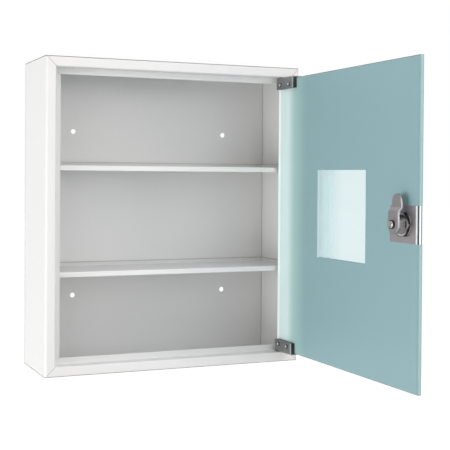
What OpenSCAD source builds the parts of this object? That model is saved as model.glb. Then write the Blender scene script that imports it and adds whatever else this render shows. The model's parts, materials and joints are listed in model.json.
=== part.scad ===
// Lockable wall cabinet for medicines: a folded sheet-steel body with a mitred
// front frame, two fixed shelves and a frosted glass door on two corner pivots,
// shut by a cam lock. Millimetres, +Z up, the front faces -Y.
// The origin is the middle of the four wall holes, on the back panel's rear face.
// The door is drawn open at a right angle to the front, with the lock undone.

/* [Body] */
// Overall width of the body
body_w = 318; // [280:1:420]
// Overall height of the body
body_h = 360; // [320:1:520]
// Overall depth of the body
body_d = 100; // [85:1:160]
// Thickness of the painted steel sheet
sheet_t = 1; // [0.8:0.1:1.5]
// Outer radius of the bend between a side and the front frame
front_bend_r = 3; // [2:0.5:5]
// Outer radius of the small bends in the frame, shelves and clamps
small_bend_r = 1.6; // [1.6:0.1:1.8]

/* [Front frame] */
// Width of the frame that surrounds the door opening
frame_w = 12; // [10:0.5:20]
// Width of the stop lips above and below the opening
lip_w = 7; // [5:0.1:12]
// Width of the stop lip at the lock side, which the cam grips from behind
strike_w = 8.8; // [7:0.1:12]

/* [Back panel] */
// Distance from the wall to the back panel's rear face
back_recess = 2; // [2:0.5:8]
// Distance between the wall holes, across and up
hole_pitch_x = 200; // [120:5:240]
// Distance between the wall holes, upwards
hole_pitch_z = 200; // [120:5:280]
// Radius of a wall hole
wall_hole_r = 3; // [2:0.25:4.5]

/* [Shelves] */
// Height of the lower shelf's top above the underside of the body
lower_shelf_h = 116; // [100:1:140]
// Height of the upper shelf's top above the underside of the body
upper_shelf_h = 238; // [200:1:260]
// Distance from the back of the stop lips to the front of a shelf
shelf_setback = 2.1; // [1:0.1:20]
// Height of a shelf's folded front edge
shelf_edge_h = 6; // [4:0.5:12]
// Height of the turned-up edges at a shelf's sides and back
shelf_upstand = 4.5; // [3:0.5:8]

/* [Door glass] */
// Thickness of the glass
glass_t = 5; // [4:0.5:6]
// Gap between the glass and the frame at the lock side
glass_edge_gap = 2.2; // [2:0.1:3]
// Length of glass beyond the pivots, at the hinge side
glass_tail = 8; // [7:0.5:9]
// Width of the ground bevel round both faces of the glass
glass_bevel = 0.8; // [0.3:0.1:1]

/* [Hinges] */
// Length of a hinge clamp along the glass
clamp_l = 41; // [34:1:60]
// Height of a hinge clamp
clamp_h = 14.5; // [12:0.5:20]
// Thickness of the clamp's metal
clamp_t = 1.2; // [1:0.1:1.4]
// Thickness of the clamp's pad on the inner face of the glass
pad_inner_t = 4.2; // [3:0.1:4.2]
// Thickness of the clamp's pad on the outer face of the glass
pad_outer_t = 1.3; // [0.8:0.1:1.3]
// Thickness of the clamp's pad over the edge of the glass
pad_edge_t = 0.4; // [0.3:0.1:1]
// Radius of a pivot pin
pin_r = 2; // [1.5:0.1:2.2]
// Radial running clearance of a pivot pin in its bush
pin_clearance = 0.05; // [0.02:0.01:0.1]
// Height of a pivot pin above its clamp
pin_h = 6; // [5:0.5:8]
// Wall of a pivot bush
bush_wall = 1.2; // [0.8:0.1:1.4]
// Distance between the two set screws of a clamp
screw_pitch = 20.8; // [16:0.4:30]
// Height of the set screws above the clamp's open edge
screw_rise = 5.2; // [4:0.1:7]
// Radius of a set screw
set_screw_r = 2.5; // [2:0.25:3]

/* [Lock] */
// Distance from the edge of the glass to the lock's axis
lock_inset = 23.3; // [21:0.1:30]
// Height of the lock's axis above the middle of the glass
lock_rise = 0; // [-30:1:18]
// Length of the lock bracket along the glass
bracket_l = 48; // [44:1:64]
// Height of the lock bracket
bracket_h = 37.5; // [32:0.5:60]
// Thickness of the bracket's metal
bracket_t = 0.8; // [0.6:0.1:1.2]
// Thickness of the film between the bracket and the glass
film_t = 0.2; // [0.2:0.1:0.5]
// Radius of the lock barrel's threaded body
barrel_r = 9.4; // [8.5:0.1:9.6]
// Distance across the barrel's two flats
barrel_flats = 16.6; // [15:0.1:17]
// Length of the barrel behind the glass
barrel_reach = 12; // [11:0.5:15]
// Radius of the barrel's outer rim
rim_r = 11.5; // [11:0.5:14]
// Radius of the turning plug
plug_r = 6.4; // [5.9:0.1:6.6]
// Radial running clearance of the plug in the barrel
plug_clearance = 0.05; // [0.02:0.01:0.1]
// Distance across the flats of the lock nut
nut_af = 24; // [22:0.5:28]
// Thickness of the lock nut
nut_t = 3; // [2.5:0.5:4]
// Length of the cam from the lock's axis to its tip
cam_l = 30.5; // [29:0.5:34]
// Radius of the cam's wide end
cam_hub_r = 9.5; // [8:0.5:9.5]
// Radius of the cam's rounded tip
cam_tip_r = 8; // [5:0.5:8]
// Thickness of the cam
cam_t = 2; // [1.5:0.25:2.5]
// Radius of the cam screw's head
cam_screw_head_r = 4.5; // [4:0.25:5.5]

/* [Hidden] */
$fn = 64;

// Small parts and clearances
BEND_STEPS = 6;          // flats in one bend of a sheet
EPS = 0.5;               // overshoot of a cut past the face that it starts from
pivot_run_gap = 0.2;     // between a clamp and the flange of its bush
bush_flange_t = 0.5;
bush_flange_w = 0.4;     // flange beyond the bush's wall
bush_l = 6.6;            // sleeve of a bush, above its flange
bush_fit = 0.05;         // between a bush and its hole in the frame
pin_fit = 0.02;          // between a pin and its hole in the clamp
pin_tail = 3.6;          // clamp beyond the pivot's axis
flange_gap = 0.4;        // between the frame and the clamps of the closed door
side_gap = 1;            // between the frame and the clamps of the open door
stop_gap = 0.3;          // between the stop lips and what swings past them
pad_skin = 0.8;          // pad left between a set screw and the glass
pad_overhang = 0.6;      // pad that shows beyond the clamp's end
screw_fit = 0.05;
screw_stand = 0.7;       // set screw standing proud of the clamp
socket_r = 1.4;          // hexagon socket of a set screw
socket_depth = 1.6;
glass_hole_gap = 0.6;    // around the barrel in the glass
barrel_fit = 0.1;        // around the barrel in the bracket, washer and nut
rim_t = 2.5;
shoulder_r = plug_r + 1; // plug's shoulder inside the rim
shoulder_t = 1.5;
shoulder_gap = 0.05;
washer_t = 0.8;
washer_r = 12.2;
cam_run_gap = 0.2;       // between the barrel's end and the cam
tail_square = 8;         // square tail of the plug
tail_fit = 0.05;
tail_short = 0.1;        // tail stops this far inside the cam's face
cam_bend_z = 12;         // start of the cam's step, from the lock's axis
cam_bend_run = 5;        // length of the step
cam_washer_t = 0.8;
cam_washer_r = 6.5;
cam_screw_r = 2;
cam_screw_l = 8;
cam_screw_head_t = 2.2;
cross_w = 1.1;           // cross recess of the cam screw
cross_l = 5;
cross_depth = 1.2;
key_slot = [1.8, 8, 10]; // keyhole: width, height and depth
strike_gap = 0.6;        // between the stop lip and the locked cam

// Faces of the body
left_x = -body_w / 2;
right_x = body_w / 2;
front_y = back_recess - body_d;
rim_y = back_recess;
bottom_z = -body_h / 2;
top_z = body_h / 2;

// Build-up on the two faces of the glass
clamp_out = pad_outer_t + clamp_t;
clamp_in = pad_inner_t + clamp_t;
bracket_out = film_t + bracket_t;

// Pivot axis, and the rebate that the closed door lies in
pivot_setback = sheet_t + flange_gap + clamp_out + glass_t / 2;
pivot_x = right_x - frame_w - side_gap - clamp_out - glass_t / 2;
pivot_y = front_y + pivot_setback;
bush_r = pin_r + pin_clearance + bush_wall;
bush_flange_r = bush_r + bush_flange_w;
tail_swing = norm([glass_tail, glass_t / 2]);
clamp_swing = norm([pin_tail, glass_t / 2 + clamp_in]);
rebate_d = pivot_setback + max(tail_swing, clamp_swing) + stop_gap;
lip_meet = frame_w + min(lip_w, strike_w);

// Door glass in its open place: it stands in a plane across X
inner_face_x = pivot_x - glass_t / 2;
outer_face_x = pivot_x + glass_t / 2;
glass_w = pivot_x + glass_tail - (left_x + frame_w + glass_edge_gap);
glass_back_y = pivot_y + glass_tail;
glass_free_y = glass_back_y - glass_w;
clamp_top_z = top_z - frame_w - bush_flange_t - pivot_run_gap;
glass_half_h = clamp_top_z - clamp_t - pad_edge_t;

// Hinge clamps
clamp_back_y = pivot_y + pin_tail;
clamp_front_y = clamp_back_y - clamp_l;
clamp_mid_y = (clamp_back_y + clamp_front_y) / 2;
clamp_low_z = clamp_top_z - clamp_h;
screw_z = clamp_low_z + screw_rise;

// Lock: distances behind the glass run towards -X
lock_y = glass_free_y + lock_inset;
rim_x = outer_face_x + rim_t;
barrel_end_x = inner_face_x - barrel_reach;
cam_front_x = barrel_end_x - cam_run_gap;
cam_back_x = cam_front_x - cam_t;
tongue_reach = rebate_d + sheet_t + strike_gap - pivot_setback - glass_t / 2;
cam_step = barrel_reach + cam_run_gap - tongue_reach;
nut_front_x = inner_face_x - bracket_out - washer_t;
shelf_y = front_y + rebate_d + sheet_t + shelf_setback;

// Sheet outlines: a path along the middle of the sheet, widened to both sides.
function left_of(v) = [-v.y, v.x];
function unit(v) = v / norm(v);
function turned(v, a) = [v.x * cos(a) - v.y * sin(a), v.x * sin(a) + v.y * cos(a)];

// One bend at corner b of the path a-b-c, with the middle radius r, moved sideways
function bend_points(a, b, c, r, side) =
  let (d1 = unit(b - a), d2 = unit(c - b),
       turn = sign(cross(d1, d2)),
       angle = acos(d1 * d2),
       centre = b - d1 * r * tan(angle / 2) + left_of(d1) * r * turn,
       spoke = -turn * left_of(d1))
  [for (i = [0:BEND_STEPS])
     centre + (r - turn * side) * turned(spoke, turn * angle * i / BEND_STEPS)];

function edge_points(path, radii, side) =
  let (n = len(path))
  [path[0] + left_of(unit(path[1] - path[0])) * side,
   for (i = [1:n - 2])
     each bend_points(path[i - 1], path[i], path[i + 1], radii[i - 1], side),
   path[n - 1] + left_of(unit(path[n - 1] - path[n - 2])) * side];

function reversed(list) = [for (i = [len(list) - 1:-1:0]) list[i]];

function strip_outline(path, t, radii) =
  concat(edge_points(path, radii, t / 2), reversed(edge_points(path, radii, -t / 2)));

module strip(path, t, radii) {
  polygon(strip_outline(path, t, radii));
}

// An arc of points about the origin
function arc_points(r, a0, a1, steps) =
  [for (i = [0:steps]) r * [cos(a0 + (a1 - a0) * i / steps), sin(a0 + (a1 - a0) * i / steps)]];

// Turns a shape drawn along Z to lie along X, with its X to -Z
module along_x(x, y, z) {
  translate([x, y, z]) rotate([0, 90, 0]) children();
}

// --- Body -------------------------------------------------------------

// One folded panel seen in section: x runs in from the outer face, y back from
// the front. The frame is followed by the rebate and a stop lip, if lip isn't 0.
module frame_section(lip) {
  h = sheet_t / 2;
  small = small_bend_r - h;
  wall = [[h, body_d], [h, h]];
  rest = lip > 0
    ? [[frame_w - h, h], [frame_w - h, rebate_d + h], [frame_w + lip, rebate_d + h]]
    : [[frame_w, h]];
  strip(concat(wall, rest), sheet_t, [front_bend_r - h, small, small]);
}

// A panel along Z, mitred at both ends at 45 degrees as far as the narrower lip
module frame_panel(length, lip) {
  reach = frame_w + lip + EPS;
  far = length / 2;
  intersection() {
    linear_extrude(length, center = true) frame_section(lip);
    translate([0, body_d + EPS, 0]) rotate([90, 0, 0]) linear_extrude(body_d + 2 * EPS)
      polygon([[0, -far], [lip_meet, lip_meet - far], [reach, lip_meet - far],
               [reach, far - lip_meet], [lip_meet, far - lip_meet], [0, far]]);
  }
}

module left_side() {
  color("whitesmoke") translate([left_x, front_y, 0]) frame_panel(body_h, strike_w);
}

module right_side() {
  color("whitesmoke") translate([right_x, front_y, 0]) mirror([1, 0, 0]) frame_panel(body_h, 0);
}

// The panel below, whose rebate takes a bush
module floor_panel() {
  difference() {
    translate([0, front_y, bottom_z]) rotate([0, -90, 0]) frame_panel(body_w, lip_w);
    translate([pivot_x, pivot_y, bottom_z + frame_w - sheet_t - EPS])
      cylinder(h = sheet_t + 2 * EPS, r = bush_r + bush_fit);
  }
}

module bottom_panel() {
  color("whitesmoke") floor_panel();
}

module top_panel() {
  color("whitesmoke") mirror([0, 0, 1]) floor_panel();
}

// A shallow tray whose edges turn back to the wall
module back_panel() {
  w = body_w - 2 * sheet_t;
  h = body_h - 2 * sheet_t;
  color("gainsboro") difference() {
    translate([-w / 2, -sheet_t, -h / 2]) cube([w, rim_y + sheet_t, h]);
    translate([-w / 2 + sheet_t, 0, -h / 2 + sheet_t])
      cube([w - 2 * sheet_t, rim_y + EPS, h - 2 * sheet_t]);
    for (x = [-1, 1], z = [-1, 1])
      translate([x * hole_pitch_x / 2, EPS, z * hole_pitch_z / 2]) rotate([90, 0, 0])
        cylinder(h = sheet_t + 2 * EPS, r = wall_hole_r);
  }
}

// A shelf with a folded front edge, and edges turned up at the sides and back
module shelf(top) {
  h = sheet_t / 2;
  path = [[shelf_y + h, -shelf_edge_h], [shelf_y + h, -h], [-sheet_t - h, -h],
          [-sheet_t - h, shelf_upstand]];
  r = small_bend_r - h;
  translate([left_x + sheet_t, 0, bottom_z + top]) {
    rotate([90, 0, 90]) linear_extrude(body_w - 2 * sheet_t) strip(path, sheet_t, [r, r]);
    for (x = [0, body_w - 3 * sheet_t])
      translate([x, shelf_y + small_bend_r, -h])
        cube([sheet_t, -2 * sheet_t - small_bend_r - shelf_y, shelf_upstand + h]);
  }
}

module upper_shelf() { color("white") shelf(upper_shelf_h); }
module lower_shelf() { color("white") shelf(lower_shelf_h); }

// --- Hinges: drawn for the upper corner, and mirrored for the lower ----

module pivot_bush() {
  seat_z = top_z - frame_w;
  color("dimgray") translate([pivot_x, pivot_y, seat_z]) difference() {
    union() {
      translate([0, 0, -bush_flange_t]) cylinder(h = bush_flange_t, r = bush_flange_r);
      cylinder(h = bush_l, r = bush_r);
    }
    translate([0, 0, -bush_flange_t - EPS])
      cylinder(h = bush_flange_t + bush_l + 2 * EPS, r = pin_r + pin_clearance);
  }
}

// A metal channel over the edge of the glass, bored for its pin and set screws
module hinge_clamp() {
  h = clamp_t / 2;
  path = [[inner_face_x - clamp_in + h, clamp_low_z], [inner_face_x - clamp_in + h, clamp_top_z - h],
          [outer_face_x + clamp_out - h, clamp_top_z - h], [outer_face_x + clamp_out - h, clamp_low_z]];
  r = clamp_t / 2 + 0.3;
  color("lightslategray") difference() {
    translate([0, clamp_back_y, 0]) rotate([90, 0, 0]) linear_extrude(clamp_l)
      strip(path, clamp_t, [r, r]);
    translate([pivot_x, pivot_y, clamp_top_z - clamp_t - EPS])
      cylinder(h = clamp_t + 2 * EPS, r = pin_r + pin_fit);
    clamp_screw_places() cylinder(h = clamp_in + EPS, r = set_screw_r + screw_fit);
  }
}

// The two set screws' axes, from the clamp's inner cheek towards the glass
module clamp_screw_places() {
  for (side = [-1, 1])
    along_x(inner_face_x - clamp_in - EPS, clamp_mid_y + side * screw_pitch / 2, screw_z) children();
}

module clamp_pad() {
  y0 = clamp_front_y - pad_overhang;
  length = clamp_back_y - y0;
  low = clamp_low_z + sheet_t / 2;
  high = clamp_top_z - clamp_t;
  color("black") difference() {
    translate([inner_face_x - pad_inner_t, y0, low])
      cube([pad_inner_t + glass_t + pad_outer_t, length, high - low]);
    translate([inner_face_x, y0 - EPS, low - EPS])
      cube([glass_t, length + 2 * EPS, glass_half_h - low + EPS]);
    for (x = [inner_face_x - pad_inner_t, outer_face_x + pad_outer_t])
      translate([x, y0 + length / 2, high]) rotate([0, 45, 0])
        cube([0.6, length + 2 * EPS, 0.6], center = true);
    clamp_screw_places() cylinder(h = EPS + clamp_in - pad_skin, r = set_screw_r + screw_fit);
  }
}

module clamp_screws() {
  length = screw_stand + clamp_in - pad_skin;
  color("silver") for (side = [-1, 1])
    along_x(inner_face_x - clamp_in - screw_stand, clamp_mid_y + side * screw_pitch / 2, screw_z)
      difference() {
        cylinder(h = length, r = set_screw_r);
        translate([0, 0, -EPS]) cylinder(h = socket_depth + EPS, r = socket_r, $fn = 6);
      }
}

module pivot_pin() {
  color("silver") translate([pivot_x, pivot_y, clamp_top_z - clamp_t]) {
    cylinder(h = clamp_t + pin_h - 0.6, r = pin_r);
    translate([0, 0, clamp_t + pin_h - 0.6]) cylinder(h = 0.6, r1 = pin_r, r2 = pin_r - 0.6);
  }
}

module upper_pivot_bush() { pivot_bush(); }
module lower_pivot_bush() { mirror([0, 0, 1]) pivot_bush(); }
module upper_hinge_clamp() { hinge_clamp(); }
module lower_hinge_clamp() { mirror([0, 0, 1]) hinge_clamp(); }
module upper_clamp_pad() { clamp_pad(); }
module lower_clamp_pad() { mirror([0, 0, 1]) clamp_pad(); }
module upper_clamp_screws() { clamp_screws(); }
module lower_clamp_screws() { mirror([0, 0, 1]) clamp_screws(); }
module upper_pivot_pin() { pivot_pin(); }
module lower_pivot_pin() { mirror([0, 0, 1]) pivot_pin(); }

// --- Door glass ---------------------------------------------------------

// A rectangle with its four corners cut off
module bevelled_rectangle(w, h, bevel) {
  polygon([[0, bevel], [bevel, 0], [w - bevel, 0], [w, bevel],
           [w, h - bevel], [w - bevel, h], [bevel, h], [0, h - bevel]]);
}

module door_glass() {
  height = 2 * glass_half_h;
  color("paleturquoise", 0.6) difference() {
    translate([inner_face_x, glass_free_y, -glass_half_h]) intersection() {
      linear_extrude(height) bevelled_rectangle(glass_t, glass_w, glass_bevel);
      translate([0, glass_w, 0]) rotate([90, 0, 0])
        linear_extrude(glass_w) bevelled_rectangle(glass_t, height, glass_bevel);
    }
    along_x(inner_face_x - EPS, lock_y, lock_rise) cylinder(h = glass_t + 2 * EPS, r = barrel_r + glass_hole_gap);
  }
}

// --- Lock ---------------------------------------------------------------

// A round bar with two upright flats
module double_d(r, flats, h) {
  intersection() {
    cylinder(h = h, r = r);
    translate([-r - EPS, -flats / 2, 0]) cube([2 * r + 2 * EPS, flats, h]);
  }
}

// An angle on the inner face and the free edge of the glass, at a distance from both
module edge_angle(thickness, distance) {
  h = thickness / 2;
  x0 = inner_face_x - distance - h;
  y0 = glass_free_y - distance - h;
  translate([0, 0, lock_rise - bracket_h / 2]) linear_extrude(bracket_h)
    strip([[x0, glass_free_y + bracket_l], [x0, y0], [outer_face_x, y0]], thickness, [h + 0.1]);
}

module lock_bracket() {
  color("silver") difference() {
    edge_angle(bracket_t, film_t);
    along_x(inner_face_x - bracket_out - EPS, lock_y, lock_rise)
      double_d(barrel_r + barrel_fit, barrel_flats + 2 * barrel_fit, glass_t + 2 * bracket_out + 2 * EPS);
  }
}

module bracket_film() {
  color("gray") difference() {
    edge_angle(film_t, 0);
    along_x(inner_face_x - film_t - EPS, lock_y, lock_rise)
      cylinder(h = glass_t + 2 * film_t + 2 * EPS, r = barrel_r + glass_hole_gap);
  }
}

module lock_barrel() {
  body_l = rim_x - rim_t - barrel_end_x;
  color("lightgray") along_x(barrel_end_x, lock_y, lock_rise) difference() {
    union() {
      double_d(barrel_r, barrel_flats, body_l);
      translate([0, 0, body_l]) cylinder(h = rim_t - 0.8, r = rim_r);
      translate([0, 0, body_l + rim_t - 0.8]) cylinder(h = 0.8, r1 = rim_r, r2 = rim_r - 0.8);
    }
    translate([0, 0, -EPS]) cylinder(h = body_l + rim_t + 2 * EPS, r = plug_r + plug_clearance);
    translate([0, 0, body_l + rim_t - shoulder_t - shoulder_gap])
      cylinder(h = shoulder_t + shoulder_gap + EPS, r = shoulder_r + plug_clearance);
  }
}

module lock_washer() {
  color("silver") along_x(nut_front_x, lock_y, lock_rise) difference() {
    cylinder(h = washer_t, r = washer_r);
    translate([0, 0, -EPS]) cylinder(h = washer_t + 2 * EPS, r = barrel_r + barrel_fit);
  }
}

module lock_nut() {
  color("silver") along_x(nut_front_x - nut_t, lock_y, lock_rise) difference() {
    rotate(90) cylinder(h = nut_t, r = nut_af / 2 / cos(30), $fn = 6);
    translate([0, 0, -EPS]) cylinder(h = nut_t + 2 * EPS, r = barrel_r + barrel_fit);
  }
}

module lock_plug() {
  tail_l = cam_run_gap + cam_t - tail_short;
  plug_l = rim_x - barrel_end_x;
  color("gainsboro") along_x(barrel_end_x, lock_y, lock_rise) difference() {
    union() {
      cylinder(h = plug_l, r = plug_r);
      translate([0, 0, plug_l - shoulder_t]) cylinder(h = shoulder_t, r = shoulder_r);
      translate([-tail_square / 2, -tail_square / 2, -tail_l])
        cube([tail_square, tail_square, tail_l]);
    }
    translate([-key_slot.y / 2, -key_slot.x / 2, plug_l - key_slot.z])
      cube([key_slot.y, key_slot.x, key_slot.z + EPS]);
    translate([0, 0, -tail_l - EPS])
      cylinder(h = cam_screw_l + EPS, r = cam_screw_r + screw_fit);
  }
}

// Outline of the cam, seen along the lock's axis: a wide round end that tapers to
// a rounded tip. x is across the cam, y is up it.
function cam_outline() =
  let (reach = cam_l - cam_tip_r,
       lean = asin((cam_hub_r - cam_tip_r) / reach))
  concat(arc_points(cam_hub_r, 180 - lean, 360 + lean, 24),
         [for (p = arc_points(cam_tip_r, lean, 180 - lean, 16)) p + [0, reach]]);

module lock_cam() {
  mid_x = cam_front_x - cam_t / 2;
  path = [[mid_x, -cam_hub_r - EPS], [mid_x, cam_bend_z], [mid_x + cam_step, cam_bend_z + cam_bend_run],
          [mid_x + cam_step, cam_l + EPS]];
  r = cam_t / 2 + 0.5;
  color("silver") translate([0, lock_y, lock_rise]) difference() {
    intersection() {
      translate([0, cam_hub_r + EPS, 0]) rotate([90, 0, 0]) linear_extrude(2 * cam_hub_r + 2 * EPS)
        strip(path, cam_t, [r, r]);
      translate([cam_back_x - EPS, 0, 0]) rotate([90, 0, 90]) linear_extrude(cam_step + cam_t + 2 * EPS)
        polygon(cam_outline());
    }
    translate([cam_back_x - EPS, -tail_square / 2 - tail_fit, -tail_square / 2 - tail_fit])
      cube([cam_t + 2 * EPS, tail_square + 2 * tail_fit, tail_square + 2 * tail_fit]);
  }
}

module cam_washer() {
  color("silver") along_x(cam_back_x - cam_washer_t, lock_y, lock_rise) difference() {
    cylinder(h = cam_washer_t, r = cam_washer_r);
    translate([0, 0, -EPS]) cylinder(h = cam_washer_t + 2 * EPS, r = cam_screw_r + screw_fit);
  }
}

module cam_screw() {
  head_x = cam_back_x - cam_washer_t - cam_screw_head_t;
  shank_l = cam_screw_l - 0.5 + cam_washer_t - tail_short;
  color("silver") along_x(head_x, lock_y, lock_rise) difference() {
    union() {
      cylinder(h = 0.8, r1 = cam_screw_head_r - 0.8, r2 = cam_screw_head_r);
      translate([0, 0, 0.8]) cylinder(h = cam_screw_head_t - 0.8, r = cam_screw_head_r);
      translate([0, 0, cam_screw_head_t]) cylinder(h = shank_l, r = cam_screw_r);
    }
    for (a = [0, 90]) rotate(a)
      translate([-cross_l / 2, -cross_w / 2, -EPS]) cube([cross_l, cross_w, cross_depth + EPS]);
  }
}

left_side();
right_side();
top_panel();
bottom_panel();
back_panel();
upper_shelf();
lower_shelf();
upper_pivot_bush();
lower_pivot_bush();
door_glass();
upper_hinge_clamp();
lower_hinge_clamp();
upper_clamp_pad();
lower_clamp_pad();
upper_clamp_screws();
lower_clamp_screws();
upper_pivot_pin();
lower_pivot_pin();
lock_bracket();
bracket_film();
lock_barrel();
lock_washer();
lock_nut();
lock_plug();
lock_cam();
cam_washer();
cam_screw();
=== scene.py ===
import json
import math

import bmesh
import bpy
import numpy as np
from mathutils import Matrix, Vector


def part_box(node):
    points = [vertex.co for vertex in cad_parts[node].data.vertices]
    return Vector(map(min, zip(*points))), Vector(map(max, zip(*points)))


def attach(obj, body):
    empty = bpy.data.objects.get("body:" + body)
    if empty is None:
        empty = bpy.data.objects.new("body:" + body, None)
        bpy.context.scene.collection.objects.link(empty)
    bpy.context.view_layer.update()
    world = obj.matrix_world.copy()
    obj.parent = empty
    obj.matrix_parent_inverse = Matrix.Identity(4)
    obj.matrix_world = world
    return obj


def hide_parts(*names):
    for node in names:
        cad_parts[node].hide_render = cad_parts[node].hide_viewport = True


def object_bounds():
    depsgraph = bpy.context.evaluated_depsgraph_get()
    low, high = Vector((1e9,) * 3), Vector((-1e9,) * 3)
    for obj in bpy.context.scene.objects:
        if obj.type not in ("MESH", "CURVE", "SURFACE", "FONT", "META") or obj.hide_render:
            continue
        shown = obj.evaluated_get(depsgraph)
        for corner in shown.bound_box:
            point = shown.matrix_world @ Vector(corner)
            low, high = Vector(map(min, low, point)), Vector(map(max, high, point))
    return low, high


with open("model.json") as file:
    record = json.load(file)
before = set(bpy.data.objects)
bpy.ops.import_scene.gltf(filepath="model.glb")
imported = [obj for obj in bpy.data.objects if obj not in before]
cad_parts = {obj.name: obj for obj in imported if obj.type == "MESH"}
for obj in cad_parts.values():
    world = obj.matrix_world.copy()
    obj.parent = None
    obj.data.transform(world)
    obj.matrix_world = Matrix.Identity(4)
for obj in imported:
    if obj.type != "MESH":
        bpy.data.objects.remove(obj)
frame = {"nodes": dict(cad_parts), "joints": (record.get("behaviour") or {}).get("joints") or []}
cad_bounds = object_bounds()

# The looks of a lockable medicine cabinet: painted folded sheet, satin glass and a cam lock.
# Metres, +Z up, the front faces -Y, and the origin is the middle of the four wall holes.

MM = 0.001


# ---- camera

CAMERA_PLACE = (-0.4406, -1.1917, 0.0447)
CAMERA_YAW = math.radians(22.62)   # to the right of +Y
CAMERA_PITCH = math.radians(0.70)  # downwards
CAMERA_ROLL = math.radians(0.38)
FOCAL_PX = 1006.8                  # on a frame 450 px wide
CENTRE_PX = (190.45, 189.93)
FRAME_PX = 450
SENSOR = 36.0


def placed(first, second, third, place):
    """The matrix of an object with these three axes at this place."""
    rows = [[first[i], second[i], third[i], place[i]] for i in range(3)]
    return Matrix(rows + [[0, 0, 0, 1]])


def set_camera():
    """A pinhole camera whose three axes are turned by yaw, pitch and roll, in that order."""
    cam = bpy.data.cameras.new("camera")
    cam.sensor_width = SENSOR
    cam.lens = FOCAL_PX / FRAME_PX * SENSOR
    cam.shift_x = 0.5 - CENTRE_PX[0] / FRAME_PX
    cam.shift_y = CENTRE_PX[1] / FRAME_PX - 0.5
    cam.clip_start = 0.05
    cam.clip_end = 60
    yaw, pitch, roll = CAMERA_YAW, CAMERA_PITCH, CAMERA_ROLL
    ahead = np.array([math.sin(yaw) * math.cos(pitch), math.cos(yaw) * math.cos(pitch), -math.sin(pitch)])
    level = np.array([math.cos(yaw), -math.sin(yaw), 0.0])
    upright = np.cross(level, ahead)
    right = level * math.cos(roll) + upright * math.sin(roll)
    up = upright * math.cos(roll) - level * math.sin(roll)
    obj = bpy.data.objects.new("camera", cam)
    obj.matrix_world = placed(right, up, -ahead, CAMERA_PLACE)
    bpy.context.scene.collection.objects.link(obj)
    bpy.context.scene.camera = obj
    bpy.context.scene.view_settings.view_transform = "Standard"


set_camera()


# ---- shader sums

class Field:
    """One shader socket that Python sums can be written with."""

    def __init__(self, graph, socket):
        self.graph = graph
        self.socket = socket

    def _math(self, operation, *values):
        """One sum of fields and numbers."""
        return self.graph.node("ShaderNodeMath", {"operation": operation}, dict(enumerate(values)))

    def __add__(self, other):
        return self._math("ADD", self, other)

    def __radd__(self, other):
        return self._math("ADD", other, self)

    def __sub__(self, other):
        return self._math("SUBTRACT", self, other)

    def __rsub__(self, other):
        return self._math("SUBTRACT", other, self)

    def __mul__(self, other):
        return self._math("MULTIPLY", self, other)

    def __rmul__(self, other):
        return self._math("MULTIPLY", other, self)

    def __abs__(self):
        return self._math("ABSOLUTE", self)

    def least(self, other):
        """The smaller of the two."""
        return self._math("MINIMUM", self, other)

    def most(self, other):
        """The larger of the two."""
        return self._math("MAXIMUM", self, other)

    def root(self):
        """The square root."""
        return self._math("SQRT", self)

    def ramp(self, low, high, to_low=0.0, to_high=1.0):
        """A smooth step from to_low to to_high as the value goes from low to high."""
        return self.graph.node("ShaderNodeMapRange", {"interpolation_type": "SMOOTHSTEP"},
                               {"Value": self, "From Min": low, "From Max": high,
                                "To Min": to_low, "To Max": to_high})

    def fall(self, low, high):
        """1 up to low, falling smoothly to 0 at high."""
        return self.ramp(low, high, 1.0, 0.0)

    def between(self, low, high, soft):
        """1 between low and high, falling to 0 over soft on both sides."""
        return self.ramp(low - soft, low + soft) * self.fall(high - soft, high + soft)


class Nodes:
    """The node tree of a material or a world: emptied, with a new output."""

    def __init__(self, owner, output):
        owner.use_nodes = True
        self.owner = owner
        self.tree = owner.node_tree
        self.tree.nodes.clear()
        self.output = self.tree.nodes.new(output)

    def node(self, kind, settings=None, sockets=None, output=0):
        """Adds a node: its settings first, then the values or links of its sockets."""
        made = self.tree.nodes.new(kind)
        for key, value in (settings or {}).items():
            setattr(made, key, value)
        for key, value in (sockets or {}).items():
            if isinstance(value, Field):
                self.tree.links.new(value.socket, made.inputs[key])
            else:
                made.inputs[key].default_value = value
        return Field(self, made.outputs[output])

    def finish(self, shader):
        """Links the last shader to the output, and gives back the material or world."""
        self.tree.links.new(shader.socket, self.output.inputs["Surface"])
        return self.owner


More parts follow.
